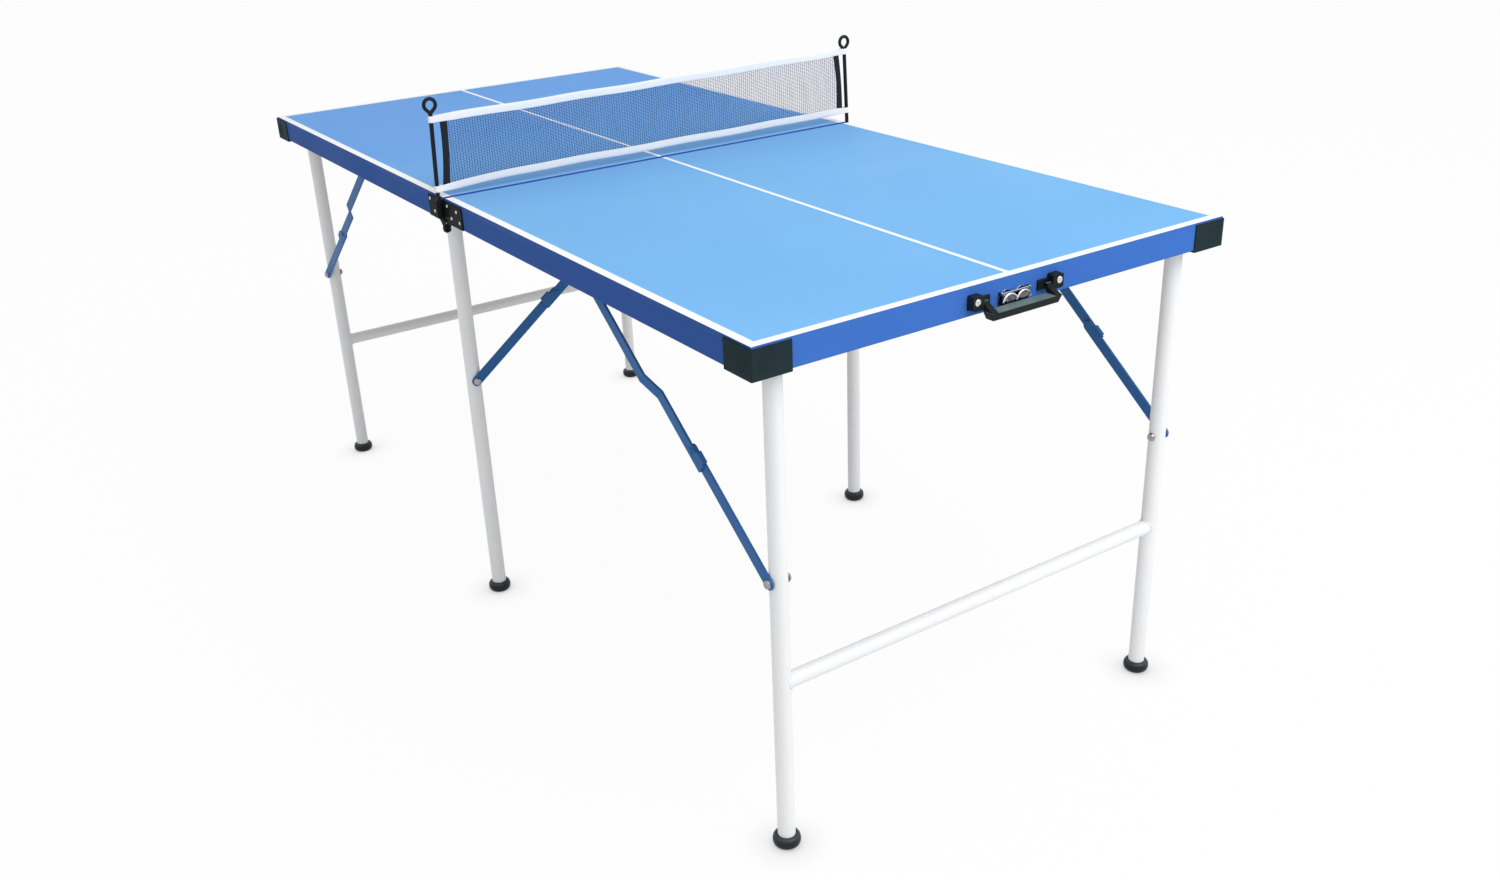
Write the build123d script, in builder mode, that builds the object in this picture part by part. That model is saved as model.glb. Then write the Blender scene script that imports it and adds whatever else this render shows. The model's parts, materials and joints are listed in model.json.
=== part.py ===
from build123d import *
from math import asin, degrees, hypot, radians, tan
import os

os.makedirs("parts", exist_ok=True)

# Table top, in millimetres. X runs along the table, Z is up, the floor is Z = 0.
table_length = 1525
table_width = 715
table_height = 670
panel_thickness = 8
joint_gap = 2.5
line_width = 13
centre_line_width = 8
line_depth = 0.4

# Apron under the panel
rail_height = 28
rail_thickness = 15
joint_rail_thickness = 20
rail_edge = 1.5
guard_reach = 50
guard_wall = 2
guard_lip = 13
guard_top_gap = 3
guard_corner = 1.5

# Legs: a leg stands stay_room inside the rail that carries its brace
leg_radius = 11
leg_wall = 1.2
leg_top_reach = 7
leg_end_room = 17
mid_leg_room = 1.5
stay_room = 31.5
crossbar_radius = 10
crossbar_wall = 1.2
crossbar_height = 234

# Levelling feet
foot_radius = 17.5
foot_height = 17
foot_sole_radius = 14
foot_round = 4
foot_rim = 1.5
foot_dish = 2.5
dish_gap = 0.5
stem_radius = 6
stem_length = 30
leg_insert = 20

# Pivots and folding braces
pivot_radius = 4
bolt_radius = 3
running_fit = 0.05
brace_run = 355
brace_drop = 273
bar_width = 15
bar_thickness = 3
layer_gap = 0.3
joggle_from_stud = 156
joggle_length = 28
bar_tail = 26
ear_start = 8
ear_length = 16
ear_thickness = 3
rivet_radius = 5
rivet_height = 2
stud_spacer = 3.5
bracket_thickness = 2
bracket_width = 24
bracket_flange = 13
head_height = 3

# Hinge of the two halves and the net sockets
hinge_drop = 8
leaf_length = 56
leaf_height = 31
leaf_thickness = 2
leaf_rise = 3.5
ear_radius = 6
ear_reach = 15
pin_radius = 3
pin_head_radius = 5
pin_head_height = 2
socket_offset = 7
socket_wall = 1.2
socket_length = 24
socket_floor = 2
socket_rise = 6.5

# Net, heights counted from the table top
post_radius = 3
post_fit = 0.1
post_stand_off = 4.6
post_bend = 4
post_lean = 2.3
post_eye_radius = 8.4
post_eye_wire = 2.6
post_eye_height = 129
post_eye_neck = 11.7
top_tape_height = 104
bottom_tape_height = 9
tape_width = 11
tape_thickness = 2.4
tape_sleeve = 1.5
band_width = 11
band_thickness = 2
band_from_post = 13
mesh_thickness = 0.8
mesh_columns = 42
mesh_rows = 7
mesh_strand = 1.6

# Carrying handle and latch on the near end
mount_outer = 69.5
mount_inner = 37
mount_height = 17
mount_below_top = 19
mount_plate = 2.5
mount_tongue = 12
boss_width = 16.5
boss_depth = 10.5
boss_corner = 2.5
handle_out = 7
handle_below_top = 22
stub_radius = 2.2
stub_length = 9
grip_length = 107
grip_depth = 16
grip_height = 9.5
grip_out = 8.8
grip_below_top = 29.5
grip_back_slope = 2
grip_front_slope = 2.5
grip_end_slope = 3.5
grip_edge = 1.2
arm_reach = 52.5
arm_width = 8
arm_radius = 3.5
latch_width = 46
latch_plate = 1.5
latch_lobe = 11.5
lever_out = 4
lever_below_top = 18.5
lever_length = 8.5
lever_width = 40
lever_thickness = 2.8
lever_slot = 24
lever_pin_radius = 1
lever_ear = 2
lobe_radius = 10.8
lobe_rise = -0.4
lobe_cut = 8.4
lobe_out = 1.6
lobe_plate = 1.4
lobe_dome = 2.6
lobe_rim = 0.6
wire_radius = 1.1
loop_drop = 2.9
loop_top = 0.5
loop_length = 22
loop_stub_radius = 0.8
loop_stub_length = 2
loop_bend = 3
catch_width = 24
catch_height = 14
catch_hook = 7
catch_lip = 5

# Derived sizes
half_length = (table_length - joint_gap) / 2
half_centre = (table_length + joint_gap) / 4
end_x = table_length / 2
side_y = table_width / 2
panel_bottom = table_height - panel_thickness
rail_bottom = panel_bottom - rail_height
rail_middle = (panel_bottom + rail_bottom) / 2
rail_inner_y = side_y - rail_thickness
pivot_z = panel_bottom - foot_radius - 0.5
leg_top = pivot_z + leg_top_reach
leg_bottom = foot_height - foot_dish + layer_gap
insert_top = leg_bottom + leg_insert
leg_x = end_x - rail_thickness - leg_end_room
leg_y = rail_inner_y - stay_room
mid_leg_x = joint_gap / 2 + joint_rail_thickness + stay_room
mid_leg_y = rail_inner_y - hypot(leg_top_reach, leg_radius) - mid_leg_room
brace_length = hypot(brace_run, brace_drop)
upper_length = (brace_length + brace_run - brace_drop) / 2
bolt_z = pivot_z - brace_drop
lower_layer = leg_radius + 0.5
upper_layer = lower_layer + bar_thickness + layer_gap
stud_layer = stay_room - stud_spacer - bar_thickness
hinge_z = rail_bottom - hinge_drop
leaf_bottom = panel_bottom + leaf_rise - leaf_height
leaf_layer = side_y + leaf_thickness
socket_radius = post_radius + post_fit + socket_wall
post_y = leaf_layer + post_stand_off
post_foot = leaf_bottom + socket_floor + socket_rise
handle_x = end_x + handle_out
handle_z = table_height - handle_below_top
lever_x = end_x + lever_out
lever_z = table_height - lever_below_top


def side_plane(station, offset):
    # Vertical sketch plane through a leg's axis: x towards its brace, y up
    point = station.from_local_coords(Vector(0, offset, 0))
    return Plane(origin=point, x_dir=station.x_dir, z_dir=-station.y_dir)


def brace_plane(station, offset):
    # Sketch plane in a brace's face: origin at its stud, x up along the brace
    point = station.from_local_coords(Vector(brace_run, offset, pivot_z))
    along = station.x_dir * brace_run + Vector(0, 0, brace_drop)
    return Plane(origin=point, x_dir=along, z_dir=-station.y_dir)


def edge_plane(station, side):
    # Sketch plane on a brace's edge: x up along the brace, y outwards
    point = station.from_local_coords(Vector(brace_run, 0, pivot_z))
    along = station.x_dir * brace_run + Vector(0, 0, brace_drop)
    return Plane(origin=point, x_dir=along, z_dir=along.cross(station.y_dir * side))


for half, sign in (("near", 1), ("far", -1)):
    left = (Plane((sign * leg_x, -leg_y, 0), x_dir=(-sign, 0, 0)), sign)
    right = (Plane((sign * leg_x, leg_y, 0), x_dir=(-sign, 0, 0)), -sign)
    mid = (Plane((sign * mid_leg_x, sign * mid_leg_y, 0), x_dir=(0, -sign, 0)), -1)

    # Playing surface with a groove for the lines, and the lines that fill it
    with BuildSketch(Plane.XY.offset(table_height)) as marks:
        with Locations((sign * half_centre, 0)):
            Rectangle(half_length, table_width)
        with Locations((sign * (half_centre - line_width / 2), 0)):
            Rectangle(half_length - line_width, table_width - 2 * line_width, mode=Mode.SUBTRACT)
            Rectangle(half_length - line_width, centre_line_width)

    with BuildPart() as panel:
        with BuildSketch(Plane.XY.offset(panel_bottom)):
            with Locations((sign * half_centre, 0)):
                Rectangle(half_length, table_width)
        extrude(amount=panel_thickness)
        add(marks.sketch)
        extrude(amount=-line_depth, mode=Mode.SUBTRACT)
    panel.part.label = half + "_panel"
    export_step(panel.part, "parts/" + half + "_panel.step")

    with BuildPart() as lines:
        add(marks.sketch)
        extrude(amount=-line_depth)
    lines.part.label = half + "_lines"
    export_step(lines.part, "parts/" + half + "_lines.step")

    # Apron rails
    for name, side in (("left", -1), ("right", 1)):
        with BuildPart() as side_rail:
            with Locations((sign * half_centre, side * (side_y - rail_thickness / 2), rail_middle)):
                Box(half_length, rail_thickness, rail_height)
            fillet(side_rail.edges().filter_by(Axis.X).group_by(Axis.Z)[0], rail_edge)
        side_rail.part.label = half + "_side_rail_" + name
        export_step(side_rail.part, "parts/" + half + "_side_rail_" + name + ".step")

    with BuildPart() as end_rail:
        with Locations((sign * (end_x - rail_thickness / 2), 0, rail_middle)):
            Box(rail_thickness, 2 * rail_inner_y, rail_height)
        fillet(end_rail.edges().filter_by(Axis.Y).group_by(Axis.Z)[0], rail_edge)
    end_rail.part.label = half + "_end_rail"
    export_step(end_rail.part, "parts/" + half + "_end_rail.step")

    with BuildPart() as joint_rail:
        with Locations((sign * (joint_gap + joint_rail_thickness) / 2, 0, rail_middle)):
            Box(joint_rail_thickness, 2 * rail_inner_y, rail_height)
    joint_rail.part.label = half + "_joint_rail"
    export_step(joint_rail.part, "parts/" + half + "_joint_rail.step")

    # Corner guards, each hooked under the apron
    with BuildPart() as guards:
        for side in (-1, 1):
            out_x = sign * (end_x + guard_wall)
            out_y = side * (side_y + guard_wall)
            span = guard_reach + guard_wall
            with BuildSketch(Plane.XY.offset(rail_bottom - guard_wall)):
                with Locations((out_x - sign * span / 2, out_y - side * span / 2)):
                    RectangleRounded(span, span, guard_corner)
            extrude(amount=rail_height + panel_thickness + guard_wall - guard_top_gap)
            with BuildSketch(Plane.XY.offset(rail_bottom)):
                with Locations((sign * (end_x - span), side * (side_y - span))):
                    Rectangle(2 * span, 2 * span)
            extrude(amount=rail_height + panel_thickness, mode=Mode.SUBTRACT)
            with BuildSketch(Plane.XY.offset(rail_bottom - guard_wall)):
                with Locations((sign * (end_x - guard_lip - span), side * (side_y - guard_lip - span))):
                    Rectangle(2 * span, 2 * span)
            extrude(amount=guard_wall, mode=Mode.SUBTRACT)
    guards.part.label = half + "_guards"
    export_step(guards.part, "parts/" + half + "_guards.step")

    # Hinge leaves on the outer faces of the side rails
    with BuildPart() as leaves:
        for side in (-1, 1):
            face = Plane((0, side * side_y, 0), x_dir=(1, 0, 0), z_dir=(0, -1, 0))
            outer = Plane((0, side * (leaf_layer + layer_gap), 0), x_dir=(1, 0, 0), z_dir=(0, -1, 0))
            with BuildSketch(face):
                with Locations((sign * (joint_gap + leaf_length) / 2, leaf_bottom + leaf_height / 2)):
                    Rectangle(leaf_length, leaf_height)
            extrude(amount=-side * leaf_thickness)
            with BuildSketch(face if half == "near" else outer):
                with Locations((0, hinge_z)):
                    Circle(ear_radius)
                Polygon(
                    (0, hinge_z - ear_radius),
                    (sign * ear_reach, leaf_bottom),
                    (sign * ear_reach, leaf_bottom + leaf_thickness),
                    (sign * joint_gap / 2, leaf_bottom + leaf_thickness),
                    (0, hinge_z + ear_radius),
                    align=None,
                )
            extrude(amount=-side * leaf_thickness)
            if half == "far":
                with BuildSketch(face):
                    with Locations((-(joint_gap + ear_reach) / 2, leaf_bottom + leaf_thickness)):
                        Rectangle(ear_reach, 2 * leaf_thickness)
                extrude(amount=-side * (2 * leaf_thickness + layer_gap))
                socket_bottom = post_foot - socket_floor
                with BuildSketch(Plane.XY.offset(socket_bottom)):
                    with Locations((-socket_offset, side * post_y)):
                        Circle(socket_radius)
                    with Locations((-socket_offset, side * (post_y + side_y) / 2)):
                        Rectangle(socket_radius, post_y - side_y)
                extrude(amount=socket_length)
                with BuildSketch(Plane.XY.offset(post_foot)):
                    with Locations((-socket_offset, side * post_y)):
                        Circle(post_radius + post_fit)
                extrude(amount=socket_length, mode=Mode.SUBTRACT)
            with BuildSketch(face):
                with Locations((0, hinge_z)):
                    Circle(pin_radius + running_fit)
            extrude(amount=-side * (3 * leaf_thickness), mode=Mode.SUBTRACT)
    leaves.part.label = half + "_hinge_leaves"
    export_step(leaves.part, "parts/" + half + "_hinge_leaves.step")

    # Pivot brackets screwed under the panel beside each leg
    with BuildPart() as brackets:
        for station, side in (left, right, mid):
            cheek = -side * (leg_radius + layer_gap)
            with BuildSketch(side_plane(station, cheek)):
                with Locations((0, pivot_z)):
                    Circle(bracket_width / 2 - 2)
                with Locations((0, (pivot_z + panel_bottom) / 2)):
                    Rectangle(bracket_width - 4, panel_bottom - pivot_z)
                with Locations((0, pivot_z)):
                    Circle(pivot_radius + running_fit, mode=Mode.SUBTRACT)
            extrude(amount=side * bracket_thickness)
            with BuildSketch(station.offset(panel_bottom)):
                with Locations((0, cheek - side * (bracket_thickness + bracket_flange) / 2)):
                    Rectangle(bracket_width, bracket_thickness + bracket_flange)
            extrude(amount=-bracket_thickness)
    brackets.part.label = half + "_leg_brackets"
    export_step(brackets.part, "parts/" + half + "_leg_brackets.step")

    # Leg pivot bolts, and the studs on the rails that carry the braces
    with BuildPart() as pivots:
        for station, side in (left, right, mid):
            inner = leg_radius + layer_gap + bracket_thickness
            outer = leg_radius + layer_gap
            with BuildSketch(side_plane(station, -side * inner)):
                with Locations((0, pivot_z)):
                    Circle(pivot_radius)
            extrude(amount=-side * (inner + outer))
            with BuildSketch(side_plane(station, -side * inner)):
                with Locations((0, pivot_z)):
                    Circle(1.7 * pivot_radius)
            extrude(amount=side * head_height)
            with BuildSketch(side_plane(station, side * outer)):
                with Locations((0, pivot_z)):
                    Circle(1.6 * pivot_radius)
            extrude(amount=-side * head_height)
            with BuildSketch(side_plane(station, side * (stud_layer - layer_gap))):
                with Locations((brace_run, pivot_z)):
                    Circle(pivot_radius)
            extrude(amount=-side * (stay_room - stud_layer + layer_gap))
            with BuildSketch(side_plane(station, side * (stud_layer - layer_gap))):
                with Locations((brace_run, pivot_z)):
                    Circle(1.6 * pivot_radius)
            extrude(amount=side * head_height)
            with BuildSketch(side_plane(station, side * stay_room)):
                with Locations((brace_run, pivot_z)):
                    Circle(1.7 * pivot_radius)
            extrude(amount=side * (stud_spacer - layer_gap))
    pivots.part.label = half + "_pivot_bolts"
    export_step(pivots.part, "parts/" + half + "_pivot_bolts.step")

    # Leg tubes with cross holes for the pivot and the brace bolt
    for name, (station, side) in (("leg_left", left), ("leg_right", right), ("mid_leg", mid)):
        with BuildPart() as leg:
            with BuildSketch(station.offset(leg_bottom)):
                Circle(leg_radius)
            extrude(amount=leg_top - leg_bottom)
            with BuildSketch(station.offset(insert_top)):
                Circle(leg_radius - leg_wall)
            extrude(amount=leg_top - insert_top, mode=Mode.SUBTRACT)
            with BuildSketch(station.offset(leg_bottom)):
                Circle(stem_radius + running_fit)
            extrude(amount=leg_insert, mode=Mode.SUBTRACT)
            with BuildSketch(side_plane(station, -2 * leg_radius)):
                with Locations((0, pivot_z)):
                    Circle(pivot_radius + running_fit)
                with Locations((0, bolt_z)):
                    Circle(bolt_radius + running_fit)
            extrude(amount=-4 * leg_radius, mode=Mode.SUBTRACT)
        leg.part.label = half + "_" + name
        export_step(leg.part, "parts/" + half + "_" + name + ".step")

    with BuildPart() as crossbar:
        with BuildSketch(Plane((sign * leg_x, -leg_y, crossbar_height), z_dir=(0, 1, 0))):
            Circle(crossbar_radius)
            Circle(crossbar_radius - crossbar_wall, mode=Mode.SUBTRACT)
        extrude(amount=2 * leg_y)
        with BuildSketch(Plane.XY.offset(crossbar_height - 2 * crossbar_radius)):
            with Locations((sign * leg_x, -leg_y), (sign * leg_x, leg_y)):
                Circle(leg_radius + running_fit)
        extrude(amount=4 * crossbar_radius, mode=Mode.SUBTRACT)
    crossbar.part.label = half + "_crossbar"
    export_step(crossbar.part, "parts/" + half + "_crossbar.step")

    # Domed bolts that hold the lower ends of the braces on the legs
    for name, stations in (("leg_bolts", (left, right)), ("mid_leg_bolt", (mid,))):
        with BuildPart() as bolts:
            for station, side in stations:
                inner = leg_radius + layer_gap
                outer = lower_layer + bar_thickness + layer_gap
                with BuildSketch(side_plane(station, -side * inner)):
                    with Locations((0, bolt_z)):
                        Circle(bolt_radius)
                extrude(amount=-side * (inner + outer))
                with BuildSketch(side_plane(station, -side * inner)):
                    with Locations((0, bolt_z)):
                        Circle(2 * bolt_radius)
                extrude(amount=side * head_height, taper=25)
                with BuildSketch(side_plane(station, side * outer)):
                    with Locations((0, bolt_z)):
                        Circle(2 * bolt_radius)
                extrude(amount=-side * head_height, taper=25)
        bolts.part.label = half + "_" + name
        export_step(bolts.part, "parts/" + half + "_" + name + ".step")

    # Levelling feet: a dished bun on a stem that screws into the leg
    for name, (station, side) in (("foot_left", left), ("foot_right", right), ("mid_foot", mid)):
        dish_z = foot_height - foot_dish
        dish_r = leg_radius + dish_gap
        with BuildPart() as foot:
            with BuildSketch(side_plane(station, 0)):
                with BuildLine():
                    Polyline(
                        (0, 0),
                        (foot_sole_radius, 0),
                        (foot_radius - foot_rim, foot_round / 2),
                        (foot_radius, foot_round),
                        (foot_radius, foot_height - 2 * foot_round),
                        (foot_radius - foot_rim, foot_height - foot_round),
                        (dish_r + foot_rim, foot_height),
                        (dish_r + foot_rim / 2, foot_height),
                        (dish_r, dish_z),
                        (stem_radius, dish_z),
                        (stem_radius, dish_z + stem_length),
                        (0, dish_z + stem_length),
                        close=True,
                    )
                make_face()
            revolve(axis=Axis(station.origin, (0, 0, 1)))
        foot.part.label = half + "_" + name
        export_step(foot.part, "parts/" + half + "_" + name + ".step")

    # Folding braces: the upper bar steps outwards to its stud on the rail, and its tail
    # carries a bent ear that stops on the lower bar when the brace is straight
    for name, stations in (("brace_uppers", (left, right)), ("mid_brace_upper", (mid,))):
        with BuildPart() as upper:
            for station, side in stations:
                joggle_end = joggle_from_stud + joggle_length
                tail_end = upper_length + bar_tail
                with BuildSketch(brace_plane(station, side * stud_layer)):
                    Circle(bar_width / 2)
                    with Locations((-joggle_from_stud / 2, 0)):
                        Rectangle(joggle_from_stud, bar_width)
                    Circle(pivot_radius + running_fit, mode=Mode.SUBTRACT)
                extrude(amount=-side * bar_thickness)
                with BuildSketch(edge_plane(station, side)):
                    Polygon(
                        (-joggle_from_stud, stud_layer),
                        (-joggle_from_stud, stud_layer + bar_thickness),
                        (-joggle_end, upper_layer + bar_thickness),
                        (-joggle_end, upper_layer),
                        align=None,
                    )
                extrude(amount=bar_width / 2, both=True)
                with BuildSketch(brace_plane(station, side * upper_layer)):
                    with Locations((-(joggle_end + tail_end) / 2, 0)):
                        Rectangle(tail_end - joggle_end, bar_width)
                    ear_middle = -upper_length - ear_start - ear_length / 2
                    ear_top = bar_width / 2 + layer_gap + ear_thickness
                    with Locations((ear_middle, ear_top / 2)):
                        Rectangle(ear_length, ear_top)
                extrude(amount=-side * bar_thickness)
                with BuildSketch(brace_plane(station, side * lower_layer)):
                    with Locations((ear_middle, ear_top - ear_thickness / 2)):
                        Rectangle(ear_length, ear_thickness)
                extrude(amount=-side * (upper_layer - lower_layer))
                with BuildSketch(brace_plane(station, side * (upper_layer + bar_thickness))):
                    with Locations((-upper_length, 0)):
                        Circle(rivet_radius)
                extrude(amount=-side * rivet_height, taper=30)
        upper.part.label = half + "_" + name
        export_step(upper.part, "parts/" + half + "_" + name + ".step")

    for name, stations in (("brace_lowers", (left, right)), ("mid_brace_lower", (mid,))):
        with BuildPart() as lower:
            for station, side in stations:
                lower_length = brace_length - upper_length
                with BuildSketch(brace_plane(station, side * lower_layer)):
                    with Locations((-upper_length - lower_length / 2, 0)):
                        SlotCenterToCenter(lower_length, bar_width)
                    with Locations((-brace_length, 0)):
                        Circle(bolt_radius + running_fit, mode=Mode.SUBTRACT)
                extrude(amount=-side * bar_thickness)
        lower.part.label = half + "_" + name
        export_step(lower.part, "parts/" + half + "_" + name + ".step")

# Pins of the hinge between the halves
with BuildPart() as pins:
    for side in (-1, 1):
        inner_y = side_y - layer_gap
        outer_y = leaf_layer + leaf_thickness + 2 * layer_gap
        with BuildSketch(Plane((0, side * inner_y, hinge_z), z_dir=(0, side, 0))):
            Circle(pin_radius)
        extrude(amount=outer_y - inner_y)
        with BuildSketch(Plane((0, side * inner_y, hinge_z), z_dir=(0, side, 0))):
            Circle(pin_head_radius)
        extrude(amount=-pin_head_height)
        with BuildSketch(Plane((0, side * outer_y, hinge_z), z_dir=(0, side, 0))):
            Circle(pin_head_radius)
        extrude(amount=pin_head_height, taper=20)
pins.part.label = "hinge_pins"
export_step(pins.part, "parts/hinge_pins.step")

# Net: two posts that lean in above the table, tapes that wrap them, side bands and mesh
bend_z = table_height + post_bend
eye_rise = post_eye_height - post_bend
neck_rise = eye_rise - post_eye_neck
eye_dip = degrees(asin(post_eye_radius / post_eye_neck))
for name, side in (("left", -1), ("right", 1)):
    knee = (-socket_offset, side * post_y, bend_z)
    lean = Plane(knee).rotated((side * post_lean, 0, 0))
    stand = Plane(knee, x_dir=lean.y_dir, z_dir=(1, 0, 0))
    with BuildPart() as post:
        with BuildLine(stand) as eye:
            bend = CenterArc((0, eye_rise), post_eye_radius, -eye_dip, 90 + eye_dip, mode=Mode.PRIVATE)
            Line((0, neck_rise), bend @ 0)
            add(bend)
        with BuildSketch(Plane(eye.line @ 0, z_dir=eye.line % 0)):
            Circle(post_eye_wire)
        sweep()
        mirror(about=Plane(knee, z_dir=lean.y_dir))
        with BuildSketch(lean):
            Circle(post_radius)
        extrude(amount=neck_rise + post_eye_wire)
        with Locations(knee):
            Sphere(post_radius)
        with BuildSketch(Plane((-socket_offset, side * post_y, post_foot))):
            Circle(post_radius)
        extrude(amount=bend_z - post_foot)
    post.part.label = "net_post_" + name
    export_step(post.part, "parts/net_post_" + name + ".step")

lean_slope = tan(radians(post_lean))
for name, height in (("top", top_tape_height), ("bottom", bottom_tape_height)):
    end_y = post_y - lean_slope * (height - post_bend)
    with BuildPart() as tape:
        with BuildSketch(Plane.XY.offset(table_height + height)):
            with Locations((-socket_offset, 0)):
                Rectangle(tape_thickness, 2 * end_y)
        extrude(amount=tape_width)
        for side in (-1, 1):
            wrap = Plane((-socket_offset, side * end_y, table_height + height))
            with BuildSketch(wrap):
                Circle(post_radius + tape_sleeve)
            extrude(amount=tape_width, dir=(0, -side * lean_slope, 1))
            with BuildSketch(wrap):
                Circle(post_radius + running_fit)
            extrude(amount=2 * tape_width, dir=(0, -side * lean_slope, 1), mode=Mode.SUBTRACT)
    tape.part.label = "net_" + name + "_tape"
    export_step(tape.part, "parts/net_" + name + "_tape.step")

net_plane = Plane((-socket_offset, 0, table_height), x_dir=(0, 1, 0), z_dir=(1, 0, 0))
mesh_height = top_tape_height - bottom_tape_height - tape_width
mesh_middle = bottom_tape_height + tape_width + mesh_height / 2
mesh_width = 2 * (post_y - band_from_post - band_width)

band_y = (mesh_width + band_width) / 2
with BuildPart() as bands:
    with BuildSketch(net_plane):
        with Locations((-band_y, mesh_middle), (band_y, mesh_middle)):
            Rectangle(band_width, mesh_height)
    extrude(amount=band_thickness / 2, both=True)
bands.part.label = "net_bands"
export_step(bands.part, "parts/net_bands.step")

# The mesh is one face with a grid of openings
column = (mesh_width - mesh_strand) / mesh_columns
row = (mesh_height - mesh_strand) / mesh_rows
openings = []
for place in GridLocations(column, row, mesh_columns, mesh_rows):
    openings.append(Wire.make_rect(column - mesh_strand, row - mesh_strand).moved(place))
strands = Face(Wire.make_rect(mesh_width, mesh_height), openings)
with BuildPart() as mesh:
    with BuildSketch(net_plane):
        with Locations((0, mesh_middle)):
            add(strands)
    extrude(amount=mesh_thickness / 2, both=True)
mesh.part.label = "net_mesh"
export_step(mesh.part, "parts/net_mesh.step")

# Carrying handle: two mounts on the end rail and a grip that swings between them
with BuildPart() as mounts:
    mount_z = table_height - mount_below_top
    end_face = Plane((end_x, 0, mount_z), x_dir=(0, 1, 0), z_dir=(1, 0, 0))
    for side in (-1, 1):
        with BuildSketch(end_face):
            with Locations((side * (mount_outer + mount_inner) / 2, (mount_tongue - mount_height) / 2)):
                Rectangle(mount_outer - mount_inner, mount_tongue)
        extrude(amount=mount_plate)
        with BuildSketch(end_face):
            with Locations((side * (mount_outer - boss_width / 2), 0)):
                RectangleRounded(boss_width, mount_height, boss_corner)
        extrude(amount=boss_depth)
        with BuildSketch(Plane((handle_x, side * arm_reach, handle_z), z_dir=(0, side, 0))):
            Circle(stub_radius + running_fit)
        extrude(amount=stub_length + layer_gap, mode=Mode.SUBTRACT)
mounts.part.label = "handle_mounts"
export_step(mounts.part, "parts/handle_mounts.step")

grip_z = table_height - grip_below_top
with BuildPart() as grip:
    with BuildSketch(Plane.XY.offset(grip_z)):
        with Locations((end_x + grip_out + grip_depth / 2, 0)):
            Rectangle(grip_depth, grip_length)
    with BuildSketch(Plane.XY.offset(grip_z - grip_height)):
        sole_depth = grip_depth - grip_back_slope - grip_front_slope
        with Locations((end_x + grip_out + grip_back_slope + sole_depth / 2, 0)):
            Rectangle(sole_depth, grip_length - 2 * grip_end_slope)
    loft()
    fillet(grip.edges().group_by(Axis.Z)[0], grip_edge)
    for side in (-1, 1):
        arm_plane = Plane((handle_x, side * arm_reach, handle_z), x_dir=(1, 0, 0), z_dir=(0, side, 0))
        arm_drop = side * (handle_z - grip_z)
        with BuildSketch(arm_plane):
            Circle(arm_radius)
            Polygon(
                (-arm_radius, 0),
                (arm_radius, 0),
                (grip_out + grip_depth - handle_out, arm_drop),
                (grip_out - handle_out, arm_drop),
                align=None,
            )
        extrude(amount=-arm_width)
        with BuildSketch(arm_plane):
            Circle(stub_radius)
        extrude(amount=stub_length)
grip.part.label = "handle_grip"
export_step(grip.part, "parts/handle_grip.step")

# Latch: lobed base with two ears, a lever between them and a wire loop on the lever
lobe_z = lever_pin_radius + lever_ear - latch_lobe
lever_plane = Plane((lever_x, 0, lever_z), x_dir=(0, 1, 0), z_dir=(1, 0, 0))
with BuildPart() as latch_base:
    with BuildSketch(lever_plane.offset(-lever_out)):
        with Locations((-latch_width / 4, lobe_z), (latch_width / 4, lobe_z)):
            Circle(latch_width / 4)
        with Locations((0, lobe_z - latch_plate)):
            Rectangle(latch_width, latch_lobe - latch_plate)
    extrude(amount=latch_plate)
    for side in (-1, 1):
        ear_y = side * (lever_width / 2 + layer_gap)
        with BuildSketch(Plane((lever_x, ear_y, lever_z), x_dir=(1, 0, 0), z_dir=(0, side, 0))):
            Circle(lever_pin_radius + lever_ear / 2)
            with Locations((-lever_out / 2, 0)):
                Rectangle(lever_out, 2 * lever_pin_radius + lever_ear)
            Circle(lever_pin_radius + running_fit, mode=Mode.SUBTRACT)
        extrude(amount=lever_ear)
latch_base.part.label = "latch_base"
export_step(latch_base.part, "parts/latch_base.step")

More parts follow.
